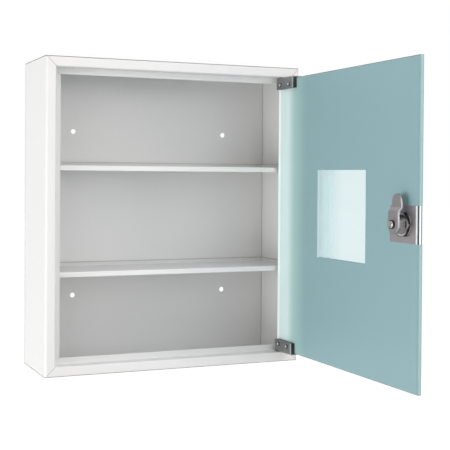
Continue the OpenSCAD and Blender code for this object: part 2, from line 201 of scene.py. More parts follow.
class Graph(Nodes):
    """The node tree of one material."""

    def __init__(self, name):
        super().__init__(bpy.data.materials.new(name), "ShaderNodeOutputMaterial")

    def place(self):
        """Object coordinates, as a vector field."""
        return self.node("ShaderNodeTexCoord", output="Object")

    def axes(self):
        """Object coordinates as three number fields, in metres."""
        made = self.node("ShaderNodeSeparateXYZ", None, {0: self.place()}).socket.node
        return [Field(self, socket) for socket in made.outputs]

    def stretched(self, scale):
        """Object coordinates scaled along each axis."""
        return self.node("ShaderNodeMapping", None, {"Vector": self.place(), "Scale": scale})

    def noise(self, scale, detail=2.0, roughness=0.5, vector=None):
        """Noise from 0 to 1, with scale bumps to the metre."""
        return self.node("ShaderNodeTexNoise", None,
                         {"Vector": vector or self.place(), "Scale": scale,
                          "Detail": detail, "Roughness": roughness}, "Fac")

    def blend(self, factor, first, second):
        """A colour from first to second as factor goes from 0 to 1."""
        sockets = {0: factor}
        for key, value in ((6, first), (7, second)):
            sockets[key] = value if isinstance(value, Field) else (*value, 1.0)
        return self.node("ShaderNodeMix", {"data_type": "RGBA"}, sockets, 2)

    def bump(self, height, distance, strength):
        """A normal that a height field tilts, with its height in metres."""
        return self.node("ShaderNodeBump", None,
                         {"Height": height, "Distance": distance, "Strength": strength}, "Normal")

    def surface(self, **sockets):
        """The Principled shader, with sockets by name: Base_Color is Base Color."""
        named = {}
        for key, value in sockets.items():
            if isinstance(value, tuple):
                value = (*value, 1.0)
            named[key.replace("_", " ")] = value
        return self.node("ShaderNodeBsdfPrincipled", None, named)


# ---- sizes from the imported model

def corners(node):
    """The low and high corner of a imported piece, as arrays."""
    low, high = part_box(node)
    return np.array(low), np.array(high)


SHEET = 1.0 * MM
FRAME_W = 12.0 * MM
FRONT_BEND = 3.0 * MM              # outer radius between a side and the frame
SMALL_BEND = 1.6 * MM              # outer radius of the other bends
STOP_GAP = 0.3 * MM

body_low = corners("left_side")[0]
body_high = corners("right_side")[1]
STRIKE_W = corners("left_side")[1][0] - body_low[0] - FRAME_W
LIP_W = corners("bottom_panel")[1][2] - body_low[2] - FRAME_W
glass_low, glass_high = corners("door_glass")
clamp_low, clamp_high = corners("upper_hinge_clamp")
hinge = np.array(frame["joints"][0]["pos_m"])
lock_axis = np.array(frame["joints"][1]["pos_m"])
REBATE = (hinge[1] - body_low[1] + STOP_GAP
          + max(math.hypot(clamp_high[1] - hinge[1], hinge[0] - clamp_low[0]),
                math.hypot(glass_high[1] - hinge[1], hinge[0] - glass_low[0])))


# ---- finishes

PAINT_TONES = ((0.850, 0.846, 0.841), (0.878, 0.874, 0.869))
# painted shade: the inside of the body and the lips behind the frame are darker
PAINT_INSIDE_SHADE = (0.795, 0.790, 0.785)
PAINT_BEND_SHADE = (0.22, 0.22, 0.22)    # painted shade on the outer bends
PAINT_LINE = (0.36, 0.36, 0.36)    # dark joint lines on the mitres, and painted shade in the seams and along the rear left edge
REAR_EDGE_SHARE = 0.3              # how much of PAINT_LINE each of them takes
MITRE_SHARE = 0.6
SEAM_SHARE = 0.5
PAINT_GLOSS = 0.34
PAINT_COAT = 0.15


def seam_mask(y, z, wide, width, back):
    """1 along the seams where the back wall and the shelves' turned-up edges meet the walls, where a line of
    painted shade goes.
    """
    from_wall = abs(y - (back - 3.0 * MM))
    from_side = abs(wide - (width - SHEET))
    seam = from_wall.most(from_side).fall(0.4 * MM, 1.1 * MM)
    along_walls = from_wall.least(from_side).fall(1.8 * MM, 2.2 * MM)
    for shelf in ("upper_shelf", "lower_shelf"):
        from_top = abs(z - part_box(shelf)[1][2])
        seam = seam.most(along_walls * from_top.fall(0.3 * MM, 0.7 * MM))
    return seam


def white_paint():
    """Satin powder coat: nearly flat white, with a fine orange peel. Painted shade makes its tone darker
    inside the body, on the outer bends at the top, the bottom, the right and the rear left, and in the seams;
    the mitres carry dark joint lines."""
    g = Graph("white_paint")
    x, y, z = g.axes()
    wide = abs(x)
    tall = abs(z)
    width, back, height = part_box("right_side")[1]
    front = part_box("right_side")[0][1]
    shelf_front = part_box("upper_shelf")[0][1]
    tone = g.blend(g.noise(9.0, 3.0), *PAINT_TONES)
    # painted shade, darker: inner is off the outer faces, and lips are the folds behind the frame, less those
    # at the bottom
    skin = 0.6 * MM
    inner = wide.fall(width - skin, width - skin / 2) * tall.fall(height - skin, height - skin / 2)
    inner = inner * y.fall(back - 2.7 * MM, back - 2.4 * MM)
    lips = y.between(front + 4.0 * MM, shelf_front - 0.5 * MM, 0.2 * MM)
    lips = lips * z.ramp(4.0 * MM - height, 24.0 * MM - height)
    behind_shelf_fronts = y.ramp(shelf_front + 1.6 * MM, shelf_front + 2.4 * MM)
    tone = g.blend(inner * behind_shelf_fronts.most(lips), tone, PAINT_INSIDE_SHADE)
    # painted shade on the outer bends
    bend = y.fall(front + 3.0 * MM, front + 3.4 * MM)
    ends = tall.ramp(height - 1.3 * MM, height - 0.7 * MM)
    sides = wide.ramp(width - SHEET, width - SHEET / 2)
    right = x.ramp(width - SHEET, width - SHEET / 2)
    bends = (ends * bend.most(sides)).most(right * bend)
    tone = g.blend(bends, tone, PAINT_BEND_SHADE)
    # the thin lines: painted shade along the rear left edge and in the seams, dark joint lines along the
    # mitres
    left_rear = x.fall(1.0 * MM - width, 1.4 * MM - width) * y.ramp(back - 6.0 * MM, back - 3.0 * MM)
    tone = g.blend(left_rear * REAR_EDGE_SHARE, tone, PAINT_LINE)
    mitre = abs((wide - tall) - (width - height)).fall(0.25 * MM, 0.6 * MM)
    mitre = mitre * y.fall(front + 0.6 * MM, front + 0.9 * MM)
    tone = g.blend(mitre * MITRE_SHARE, tone, PAINT_LINE)
    seam = seam_mask(y, z, wide, width, back) * inner * y.ramp(front + 12.0 * MM, front + 13.0 * MM)
    tone = g.blend(seam * SEAM_SHARE, tone, PAINT_LINE)
    gloss = PAINT_GLOSS + g.noise(40.0, 2.0) * 0.10 + bends * 0.4
    peel = g.bump(g.noise(900.0, 1.0), 0.00004, 0.5)
    return g.finish(g.surface(Base_Color=tone, Roughness=gloss, Normal=peel,
                              Coat_Weight=PAINT_COAT - bends * PAINT_COAT, Coat_Roughness=0.2))


def metal(name, low, high, roughness, grain):
    """Plated or turned metal: brushed streaks along grain vary its tone and gloss."""
    g = Graph(name)
    streak = g.noise(1.0, 3.0, 0.6, g.stretched(grain))
    smudge = g.noise(120.0, 3.0)
    tone = g.blend(streak * 0.7 + smudge * 0.3, low, high)
    gloss = roughness + (streak - 0.5) * 0.18
    return g.finish(g.surface(Base_Color=tone, Metallic=1.0, Roughness=gloss,
                              Normal=g.bump(streak, 0.00002, 0.4)))


def moulded(name, tone):
    """Moulded rubber, nylon or film with a fine grain."""
    g = Graph(name)
    grain = g.noise(700.0, 2.0)
    colour = g.blend(grain, tone, tuple(c * 1.6 for c in tone))
    return g.finish(g.surface(Base_Color=colour, Roughness=0.55 + grain * 0.2,
                              Normal=g.bump(grain, 0.00005, 0.4)))


WINDOW_FROM_PIVOT = 89.6 * MM      # from the pivot line to the clear window
WINDOW_W = 101.3 * MM
WINDOW_H = 100.0 * MM
WINDOW_RISE = 4.3 * MM             # of the window's middle above the lock's axis
WINDOW_BAND = 4.2 * MM             # how much of the far face's etching shows beside the window
WINDOW_SHIFT = 12.0 * MM           # of the window's hinge side on the far face
WINDOW_TONE = (0.47, 0.80, 0.84)
WINDOW_BAND_TONE = (0.62, 0.82, 0.84)
WINDOW_CLEARNESS = (0.76, 0.56)    # at the window's free side and at its hinge side

ETCHED_TONES = ((0.268, 0.443, 0.473), (0.289, 0.470, 0.501))
SHINE_TONE = (0.43, 0.66, 0.64)    # painted light: the slow rise towards the hinge
GLARE_TONE = (0.82, 1.0, 1.0)      # painted light: the quick rise
LINE_TONE = (0.90, 1.0, 0.97)      # painted light: the bright line at the hinge edge, and the glow it gives off
LINE_GLOW = (0.13, 0.19, 0.17)
BEHIND_LINE_TONE = (0.20, 0.36, 0.37)
RIM_TONE = (0.15, 0.22, 0.21)      # painted shade on the ground edges at the top and the bottom
# painted light along the free edge, and painted shade on its near bevel
FREE_EDGE_TONE = (0.30, 0.46, 0.47)
FREE_MIDDLE_TONE = (0.41, 0.60, 0.60)
FREE_BEVEL_TONE = (0.23, 0.39, 0.40)


def window_masks(x, y, z):
    """The clear window, and the band beside it where the far face's etching shows."""
    x0, x1 = glass_low[0], glass_high[0]
    middle = float(x0 + x1) / 2
    high_y = float(hinge[1]) - WINDOW_FROM_PIVOT
    low_y = high_y - WINDOW_W
    low_z = float(lock_axis[2]) + WINDOW_RISE - WINDOW_H / 2
    edge = 0.3 * MM
    outer = x.ramp(middle - 0.2 * MM, middle + 0.2 * MM)
    tall = z.between(low_z, low_z + WINDOW_H, edge)
    stop = high_y - WINDOW_BAND
    band = tall * y.between(stop, high_y, edge) * (1 - outer)
    clear = tall * y.ramp(low_y - edge, low_y + edge)
    clear = clear * (y - outer * WINDOW_SHIFT).fall(stop - edge, stop + edge)
    return clear, band


def hinge_shine(g, behind, etched):
    """Painted light: the etched tone grows lighter towards the hinge in a slow rise, a quick one with fine
    upright lines, and a bright line, with a darker tone beyond it. It takes Y from the pivot line. Gives back
    the tone and the line's mask."""
    lines = g.noise(1.0, 2.0, 0.6, g.stretched((100, 420, 6)))
    etched = g.blend(behind.ramp(-66.4 * MM, -26.4 * MM), etched, SHINE_TONE)
    glare = behind.ramp(-35.4 * MM, -14.4 * MM) * (0.93 + (lines - 0.5) * 0.5)
    etched = g.blend(glare, etched, GLARE_TONE)
    line = behind.between(1.8 * MM, 6.8 * MM, 0.4 * MM)
    etched = g.blend(line, etched, LINE_TONE)
    return g.blend(behind.ramp(6.8 * MM, 7.5 * MM), etched, BEHIND_LINE_TONE), line


def painted_edge_light_and_shade(g, x, y, z, etched):
    """Painted light along the free edge; painted shade along the top, the bottom and the near bevel."""
    x0, y0 = (float(v) for v in glass_low[:2])
    top = float(glass_high[2])
    etched = g.blend(abs(z).ramp(top - 1.2 * MM, top - 0.6 * MM), etched, RIM_TONE)
    free = y.fall(y0 + 0.75 * MM, y0 + 0.85 * MM)
    etched = g.blend(free * x.ramp(x0 + 0.4 * MM, x0 + 1.0 * MM), etched, FREE_EDGE_TONE)
    etched = g.blend(free * x.between(x0 + 1.0 * MM, x0 + 3.6 * MM, 0.2 * MM), etched, FREE_MIDDLE_TONE)
    bevel = y.fall(y0 + 0.8 * MM, y0 + 1.6 * MM) * x.fall(x0 + 0.7 * MM, x0 + 0.9 * MM)
    return g.blend(bevel, etched, FREE_BEVEL_TONE)


def satin_glass():
    """Etched green-blue glass, clear in its window; painted light towards the hinge and along the free edge,
    and painted shade on its ground edges.
    """
    g = Graph("frosted_glass")
    x, y, z = g.axes()
    behind = y - float(hinge[1])
    clear, band = window_masks(x, y, z)
    etched, line = hinge_shine(g, behind, g.blend(g.noise(6.0, 2.0), *ETCHED_TONES))
    etched = painted_edge_light_and_shade(g, x, y, z, etched)
    tone = g.blend(clear, g.blend(band, etched, WINDOW_BAND_TONE), WINDOW_TONE)
    see_through = behind.ramp(-143.4 * MM, -91.4 * MM, *WINDOW_CLEARNESS)
    # the bright line's painted light also glows, though the glass is no lamp
    return g.finish(g.surface(Base_Color=tone, Roughness=0.42 - clear * 0.37, Alpha=1.0 - clear * see_through,
                              Emission_Color=g.blend(line, (0.0, 0.0, 0.0), LINE_GLOW), Emission_Strength=1.0,
                              Normal=g.bump(g.noise(1500.0, 2.0), 0.00002, 0.3)))


BRACKET_TONES = ((0.28, 0.256, 0.268), (0.42, 0.388, 0.402))
# painted highlight beside the bend; the bend tones are painted reflections, bright and dark stripes over a
# dark ground
PAINTED_HIGHLIGHT_TONE = (0.95, 1.0, 0.98)
BEND_TONE = (0.04, 0.06, 0.06)
BEND_BRIGHT_TONE = (0.95, 0.97, 0.96)
BEND_DARK_TONE = (0.20, 0.25, 0.25)
BEND_FAR_TONE = (0.80, 0.84, 0.83)


def bracket_steel():
    """Zinc-plated sheet, brushed upwards; a painted highlight runs beside its bend, and the bend carries
    painted reflections, bright on both sides of a dark line.
    """
    g = Graph("bracket_steel")
    x, y = g.axes()[:2]
    x0, y0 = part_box("lock_bracket")[0][:2]
    soft = 0.2 * MM
    streak = g.noise(1.0, 3.0, 0.6, g.stretched((900, 2400, 60)))
    tone = g.blend(streak * 0.5 + g.noise(60.0, 3.0) * 0.5, *BRACKET_TONES)
    # painted highlight beside the bend, then painted reflections on the bend itself
    painted_highlight = y.between(y0 + 1.8 * MM, y0 + 4.4 * MM, 0.3 * MM)
    tone = g.blend(painted_highlight, tone, PAINTED_HIGHLIGHT_TONE)
    bend = y.fall(y0 + 1.5 * MM, y0 + 1.9 * MM)
    tone = g.blend(bend, tone, BEND_TONE)
    tone = g.blend(bend * x.between(x0 + 1.1 * MM, x0 + 2.8 * MM, soft), tone, BEND_BRIGHT_TONE)
    tone = g.blend(bend * x.between(x0 + 3.1 * MM, x0 + 4.3 * MM, soft), tone, BEND_DARK_TONE)
    tone = g.blend(bend * x.ramp(x0 + 4.2 * MM, x0 + 4.6 * MM), tone, BEND_FAR_TONE)
    return g.finish(g.surface(Base_Color=tone, Metallic=0.75 - painted_highlight * 0.7,
                              Roughness=0.45 + (streak - 0.5) * 0.2, Normal=g.bump(streak, 0.00002, 0.4)))


PAINTED_SHADE_TONE = (0.03, 0.032, 0.034)    # painted shade and dark reflection on the nut's flats and the cam screw head's side


def metal_by_radius(name, inside, outside, low, high, hexagon=False):
    """Plated metal about the lock's axis that is darker beyond a radius, or beyond a hexagon's flats, with
    painted shade and
    dark reflection: the hexagon's distance is the largest of three absolute sums of Y and Z, and of the
    radius less 0.3 mm."""
    g = Graph(name)
    y, z = g.axes()[1:]
    y = y - float(lock_axis[1])
    z = z - float(lock_axis[2])
    radius = (y * y + z * z).root()
    far = radius
    if hexagon:
        half = 0.5
        tall = math.sqrt(0.75)
        far = abs(z).most(abs(y * tall + z * half)).most(abs(y * tall - z * half))
        far = far.most(radius - 0.3 * MM)
    streak = g.noise(1.0, 3.0, 0.6, g.stretched((2400, 900, 900)))
    tone = g.blend(far.ramp(inside, outside), g.blend(streak, low, high), PAINTED_SHADE_TONE)
    return g.finish(g.surface(Base_Color=tone, Metallic=1.0, Roughness=0.26 + streak * 0.12,
                              Normal=g.bump(streak, 0.00002, 0.4)))


# painted highlight in each screw's socket; the rest of the screw is dark
SOCKET_HIGHLIGHT_TONE = (0.92, 0.93, 0.92)
DARK_SCREW_TONE = (0.05, 0.052, 0.05)


def set_screw_steel(name, low, high):
    """Set screws with a painted highlight in the socket: dark beyond a radius from either screw's axis."""
    g = Graph(name + "_steel")
    y, z = g.axes()[1:]
    r = float(high[2] - low[2]) / 2
    z = z - float(high[2] + low[2]) / 2
    near = y - (float(low[1]) + r)
    other = y - (float(high[1]) - r)
    far = (near * near + z * z).root().least((other * other + z * z).root())
    wear = g.noise(900.0, 2.0)
    tone = g.blend(far.ramp(1.3 * MM, 1.7 * MM), SOCKET_HIGHLIGHT_TONE, DARK_SCREW_TONE)
    return g.finish(g.surface(Base_Color=tone, Metallic=1.0, Roughness=0.25 + wear * 0.15,
                              Normal=g.bump(wear, 0.00002, 0.3)))


DULL_ZINC_TONES = ((0.10, 0.10, 0.10), (0.24, 0.23, 0.23))
CHROME_TONE = (0.80, 0.80, 0.81)


def barrel_chrome():
    """Chrome outside the glass; the threaded body behind it is dull zinc."""
    g = Graph("barrel_chrome")
    x = g.axes()[0]
    outer_face = float(glass_high[0])
    wear = g.noise(500.0, 2.0)
    bright = x.ramp(outer_face - 0.2 * MM, outer_face)
    tone = g.blend(bright, g.blend(wear, *DULL_ZINC_TONES), CHROME_TONE)
    return g.finish(g.surface(Base_Color=tone, Metallic=1.0, Roughness=0.36 - bright * 0.24 + wear * 0.06,
                              Normal=g.bump(wear, 0.00002, 0.3)))


FINISHES = {
    "white_paint": white_paint(),
    "frosted_glass": satin_glass(),
    "clamp_metal": metal("clamp_metal", (0.17, 0.18, 0.178), (0.43, 0.44, 0.44), 0.40, (500, 500, 900)),
    "plated_steel": metal("plated_steel", (0.30, 0.28, 0.29), (0.46, 0.44, 0.45), 0.36, (2400, 2400, 60)),
    "steel_screw": metal("steel_screw", (0.50, 0.50, 0.51), (0.72, 0.72, 0.73), 0.22, (900, 900, 900)),
    "black_pad": moulded("black_pad", (0.012, 0.014, 0.014)),
    "black_bush": moulded("black_bush", (0.02, 0.02, 0.02)),
    "clear_film": moulded("clear_film", (0.5, 0.5, 0.5)),
    "lock_chrome": metal("lock_chrome", (0.55, 0.55, 0.56), (0.80, 0.80, 0.81), 0.14, (500, 500, 500)),
}


# ---- meshes

MERGE = 1e-7                       # points closer than this become one
SHORTEST = 1e-8                    # edges shorter than this go


def piece(name, node, body, slot, shells, material=None, crease=35):
    """One piece made of closed shells: doubles merged, faces turned outwards, weighted normals."""
    mesh = bpy.data.meshes.new(name)
    start = 0
    points = []
    faces = []
    for rows, quads, caps in shells:
        flat = rows.reshape(-1, 3)
        points.append(flat)
        faces += (quads + start).tolist() + [(cap + start).tolist() for cap in caps]
        start += len(flat)
    mesh.from_pydata(np.concatenate(points).tolist(), [], faces)
    work = bmesh.new()
    work.from_mesh(mesh)
    bmesh.ops.remove_doubles(work, verts=work.verts, dist=MERGE)
    bmesh.ops.dissolve_degenerate(work, edges=work.edges, dist=SHORTEST)
    bmesh.ops.recalc_face_normals(work, faces=work.faces)
    work.to_mesh(mesh)
    work.free()
    mesh.shade_smooth()
    mesh.set_sharp_from_angle(angle=math.radians(crease))
    obj = bpy.data.objects.new(name, mesh)
    bpy.context.scene.collection.objects.link(obj)
    mesh.materials.append(material or FINISHES[slot])
    return finished(obj, node, body, slot)


def finished(obj, node, body, slot):
    """Weights the piece's normals, hangs it on its body and hides the imported part that it replaces; its
    slot is not used.
    """
    weighted = obj.modifiers.new("weighted", "WEIGHTED_NORMAL")
    weighted.keep_sharp = True
    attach(obj, body)
    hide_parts(node)
    return obj


def shell(rows, ring=False, strip=False):
    """Closes a stack of loops (rows x points x 3) with quads, and with a cap at each end unless it is
    a ring. A strip's cap is a row of quads between the points that face each other across the sheet."""
    rows = np.asarray(rows, float)
    count, around = rows.shape[:2]
    i = np.arange(count if ring else count - 1)[:, None]
    j = np.arange(around)[None, :]
    j2 = (j + 1) % around
    i2 = (i + 1) % count
    quads = np.stack([i * around + j, i * around + j2, i2 * around + j2, i2 * around + j], -1)
    quads = quads.reshape(-1, 4)
    if ring:
        return rows, quads, []
    if strip:
        k = np.arange(around // 2 - 1)
        cap = np.stack([k, k + 1, around - 2 - k, around - 1 - k], -1)
        return rows, np.concatenate([quads, cap[:, ::-1], cap + (count - 1) * around]), []
    return rows, quads, [np.arange(around), np.arange(around)[::-1] + (count - 1) * around]


def drawn_in(loop, distance):
    """A closed outline moved to its left by distance: a corner goes along the sum of its two normals."""
    ahead = np.roll(loop, -1, 0) - loop
    ahead /= np.linalg.norm(ahead, axis=1)[:, None]
    left = np.stack([-ahead[:, 1], ahead[:, 0]], 1)
    before = np.roll(left, 1, 0)
    return loop + distance * (left + before) / (1 + (left * before).sum(1))[:, None]


def counterclockwise(loop):
    """The outline, turned round if its area comes out negative."""
    x, y = loop.T
    return loop if (x * np.roll(y, -1) - y * np.roll(x, -1)).sum() > 0 else loop[::-1]


def folded_line(path, radii, side, steps):
    """The line at a distance side to the left of a folded path, with an arc of its radius at each corner."""
    path = np.asarray(path, float)
    ahead = np.diff(path, axis=0)
    ahead /= np.linalg.norm(ahead, axis=1)[:, None]
    left = np.stack([-ahead[:, 1], ahead[:, 0]], 1)
    line = [path[:1] + left[0] * side]
    for k, radius in enumerate(radii):
        turn = np.sign(ahead[k][0] * ahead[k + 1][1] - ahead[k][1] * ahead[k + 1][0])
        angle = math.acos(np.clip(ahead[k] @ ahead[k + 1], -1, 1))
        centre = path[k + 1] - ahead[k] * radius * math.tan(angle / 2) + left[k] * radius * turn
        a = np.linspace(0, turn * angle, steps + 1)[:, None]
        spoke = -turn * left[k]
        turned = np.concatenate([spoke[0] * np.cos(a) - spoke[1] * np.sin(a),
                                 spoke[0] * np.sin(a) + spoke[1] * np.cos(a)], 1)
        line.append(centre + (radius - turn * side) * turned)
    line.append(path[-1:] + left[-1] * side)
    return np.concatenate(line)


def folded_section(path, thickness, radii, edge, steps=8):
    """The outline of a folded sheet: its line moved to both sides, its two edges eased by edge."""
    path = np.asarray(path, float)
    half = thickness / 2
    one = folded_line(path, radii, half, steps)
    two = folded_line(path, radii, -half, steps)
    start = (path[1] - path[0]) / np.linalg.norm(path[1] - path[0])
    stop = (path[-2] - path[-1]) / np.linalg.norm(path[-2] - path[-1])
    across_start = (one[0] - two[0]) / thickness
    across_stop = (one[-1] - two[-1]) / thickness
    ends = [one[0] - across_start * edge, one[0] + start * edge]
    far = [one[-1] + stop * edge, one[-1] - across_stop * edge,
           two[-1] + across_stop * edge, two[-1] + stop * edge]
    back = [two[0] + start * edge, two[0] + across_start * edge]
    return counterclockwise(np.concatenate([ends, one[1:-1], far, two[1:-1][::-1], back]))


def carried(loop, low, high, edge, place, slant=None, strip=False):
    """An outline carried from low to high along a line and drawn in by edge at both ends.
    slant(loop) is how much shorter each point's run is at both ends, as in a mitre."""
    inner = drawn_in(loop, edge)
    shorter = slant or (lambda points: np.zeros(len(points)))
    rows = [place(inner, low + shorter(inner)), place(loop, low + edge + shorter(loop)),
            place(loop, high - edge - shorter(loop)), place(inner, high - shorter(inner))]
    return shell(np.stack(rows), strip=strip)


def along_x(points, station):
    """An outline in Y and Z, at a station along X."""
    return np.stack([np.broadcast_to(station, len(points)), points[:, 0], points[:, 1]], 1)


def along_y(points, station):
    """An outline in X and Z, at a station along Y."""
    return np.stack([points[:, 0], np.broadcast_to(station, len(points)), points[:, 1]], 1)


def along_z(points, station):
    """An outline in X and Y, at a station along Z."""
    return np.stack([points[:, 0], points[:, 1], np.broadcast_to(station, len(points))], 1)


def chamfered(low, high, edge):
    """A rectangle whose four corners are cut by edge."""
    (x0, y0), (x1, y1) = low, high
    return np.array([[x0 + edge, y0], [x1 - edge, y0], [x1, y0 + edge], [x1, y1 - edge],
                     [x1 - edge, y1], [x0 + edge, y1], [x0, y1 - edge], [x0, y0 + edge]])


def turned_rows(stations, radii, centre, axis, columns):
    """Loops about an axis: each row lies at a station along it, with a radius for every angle."""
    angle = np.linspace(0, 2 * math.pi, columns, endpoint=False)
    along = np.asarray(stations, float)[:, None] * np.ones(columns)
    radius = np.stack([np.broadcast_to(r, columns) for r in radii])
    first, second = radius * np.cos(angle), radius * np.sin(angle)
    order = {0: (along, first, second), 2: (first, second, along)}[axis]
    offset = [centre[i] * (i != axis) for i in range(3)]
    return np.stack([order[i] + offset[i] for i in range(3)], -1)


def profile(points):
    """Stations and radii of a turned outline, from (station, radius) pairs."""
    stations, radii = zip(*points)
    return stations, radii


def eased(node, body, slot, width):
    """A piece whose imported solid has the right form: its merged copy, with every sharp edge rounded."""
    source = frame["nodes"][node]
    obj = bpy.data.objects.new(node + "_eased", source.data.copy())
    bpy.context.scene.collection.objects.link(obj)
    work = bmesh.new()
    work.from_mesh(obj.data)
    bmesh.ops.remove_doubles(work, verts=work.verts, dist=1e-6)
    bmesh.ops.dissolve_limit(work, angle_limit=math.radians(0.5), verts=work.verts, edges=work.edges)
    work.to_mesh(obj.data)
    work.free()
    obj.data.shade_smooth()
    obj.data.materials.clear()
    obj.data.materials.append(FINISHES[slot])
    bevel = obj.modifiers.new("eased", "BEVEL")
    bevel.width = width
    bevel.segments = 2
    bevel.limit_method = "ANGLE"
    bevel.angle_limit = math.radians(30)
    return finished(obj, node, body, slot)


# ---- body

EASE = 0.3 * MM                    # how far a sheet's cut edges are eased


def folded_panel(name, lip, length, place):
    """A side of the body: the folded section, mitred at 45 degrees up to where the lips meet."""
    half = SHEET / 2
    depth = body_high[1] - body_low[1]
    small = SMALL_BEND - half
    path = [[half, depth], [half, half]]
    if lip:
        path += [[FRAME_W - half, half], [FRAME_W - half, REBATE + half], [FRAME_W + lip, REBATE + half]]
        radii = [FRONT_BEND - half, small, small]
    else:
        path += [[FRAME_W, half]]
        radii = [FRONT_BEND - half]
    meet = FRAME_W + LIP_W
    section = folded_section(path, SHEET, radii, EASE, 10)
    made = carried(section, -length / 2, length / 2, EASE, place,
                   slant=lambda p: np.minimum(p[:, 0], meet), strip=True)
    return piece(name + "_folded", name, "cabinet", "white_paint", [made])


def body_panels():
    """The four sides: each is laid out from its own outer face inwards, and about its own middle."""
    width = body_high[0] - body_low[0]
    height = body_high[2] - body_low[2]
    middle = (body_high + body_low) / 2
    front = body_low[1]
    folded_panel("left_side", STRIKE_W, height, lambda p, s: np.stack(
        [body_low[0] + p[:, 0], front + p[:, 1], middle[2] + s + 0 * p[:, 0]], 1))
    folded_panel("right_side", 0, height, lambda p, s: np.stack(
        [body_high[0] - p[:, 0], front + p[:, 1], middle[2] + s + 0 * p[:, 0]], 1))
    folded_panel("bottom_panel", LIP_W, width, lambda p, s: np.stack(
        [middle[0] + s + 0 * p[:, 0], front + p[:, 1], body_low[2] + p[:, 0]], 1))
    folded_panel("top_panel", LIP_W, width, lambda p, s: np.stack(
        [middle[0] + s + 0 * p[:, 0], front + p[:, 1], body_high[2] - p[:, 0]], 1))


UPSTAND = 4.5 * MM                 # height of a shelf's turned-up edges
UPSTAND_LEAN = 0.9 * MM            # how far their tops stand off the walls
UPSTAND_EASE = 0.15 * MM


def shelf(name):
    """A shelf: one folded strip along X for its front edge, top and back, and a turned-up bar at each side.
    The turned-up edges lean off the walls in proportion to their height."""
    low, high = corners(name)
    half = SHEET / 2
    top = high[2] - UPSTAND
    back = high[1] - half
    path = [[low[1] + half, low[2]], [low[1] + half, top - half], [back, top - half],
            [back - UPSTAND_LEAN, high[2]]]
    section = folded_section(path, SHEET, [SMALL_BEND - half] * 2, EASE, 8)
    strip = carried(section, low[0], high[0], EASE, along_x, strip=True)
    sides = []
    for wall, inward in ((low[0], 1), (high[0], -1)):
        loop = chamfered((0, top - half), (SHEET, high[2]), UPSTAND_EASE)
        loop[:, 0] += UPSTAND_LEAN * (loop[:, 1] - top) / UPSTAND
        loop[:, 0] = wall + inward * loop[:, 0]
        sides.append(carried(counterclockwise(loop), low[1] + SMALL_BEND, high[1] - SHEET - UPSTAND_LEAN,
                             UPSTAND_EASE, along_y))
    return piece(name + "_folded", name, "cabinet", "white_paint", [strip, *sides])


# ---- hinges

PIVOT_COLUMNS = 48                 # of the small turned pieces
PIN_R = 2.0 * MM
BUSH_BORE = 2.05 * MM
BUSH_SLEEVE_R = 3.25 * MM
BUSH_FLANGE_R = 3.65 * MM
BUSH_FLANGE_T = 0.5 * MM


def bush(name, sign):
    """A flanged sleeve: a turned ring with eased rims."""
    low, high = corners(name)
    start = low[2] if sign > 0 else high[2]
    length = high[2] - low[2]
    bore, sleeve, flange, t = BUSH_BORE, BUSH_SLEEVE_R, BUSH_FLANGE_R, BUSH_FLANGE_T
    e = 0.12 * MM
    points = [(0, bore + e), (0, flange - e), (e, flange), (t - e, flange), (t, flange - e), (t, sleeve),
              (length - e, sleeve), (length, sleeve - e), (length, bore + e), (length - e, bore), (e, bore)]
    stations, radii = profile(points)
    rows = turned_rows(start + sign * np.array(stations), radii, hinge, 2, PIVOT_COLUMNS)
    return piece(name + "_turned", name, "cabinet", "black_bush", [shell(rows, ring=True)])


def pin(name, sign):
    """A pivot pin: a turned rod with a cone and a small dome at its free end."""
    low, high = corners(name)
    start = low[2] if sign > 0 else high[2]
    length = high[2] - low[2]
    r = PIN_R
    points = [(0, 0), (0, r - 0.2 * MM), (0.2 * MM, r), (length - 0.6 * MM, r),
              (length - 0.15 * MM, r - 0.45 * MM), (length - 0.03 * MM, r - 0.75 * MM), (length, 0)]
    stations, radii = profile(points)
    rows = turned_rows(start + sign * np.array(stations), radii, hinge, 2, PIVOT_COLUMNS)
    return piece(name + "_turned", name, "door", "steel_screw", [shell(rows)])


CLAMP_T = 1.2 * MM
CLAMP_EASE = 0.3 * MM


def clamp(name, sign):
    """A channel over the glass edge: a folded strip in the X-Z plane, carried along Y."""
    low, high = corners(name)
    t = CLAMP_T
    outer, inner = (high[2], low[2]) if sign > 0 else (low[2], high[2])
    path = [[low[0] + t / 2, inner], [low[0] + t / 2, outer - sign * t / 2],
            [high[0] - t / 2, outer - sign * t / 2], [high[0] - t / 2, inner]]
    section = folded_section(path, t, [t / 2 + CLAMP_EASE] * 2, CLAMP_EASE, 8)
    made = carried(section, low[1], high[1], CLAMP_EASE, along_y, strip=True)
    return piece(name + "_folded", name, "door", "clamp_metal", [made])


def pad(name, sign):
    """The rubber in a clamp: a U that holds the glass, carried along Y."""
    low, high = corners(name)
    outer, inner = (high[2], low[2]) if sign > 0 else (low[2], high[2])
    slot = glass_high[2] * sign
    c = 0.35 * MM
    loop = np.array([[low[0], inner + sign * c], [low[0] + c, inner],
                     [glass_low[0], inner], [glass_low[0], slot],
                     [glass_high[0], slot], [glass_high[0], inner],
                     [high[0] - c, inner], [high[0], inner + sign * c],
                     [high[0], outer - sign * c], [high[0] - c, outer],
                     [low[0] + c, outer], [low[0], outer - sign * c]])
    made = carried(counterclockwise(loop), low[1], high[1], 0.15 * MM, along_y)
    return piece(name + "_moulded", name, "door", "black_pad", [made])


SET_SCREW_R = 2.5 * MM
SOCKET_R = 1.4 * MM                # to a corner of the hexagon
SOCKET_DEPTH = 1.6 * MM


def hexagon_radius(flat, angle):
    """The radius of a hexagon at each angle: its flat's distance over the cosine from the flat's middle."""
    return flat / np.cos(angle % (math.pi / 3) - math.pi / 6)


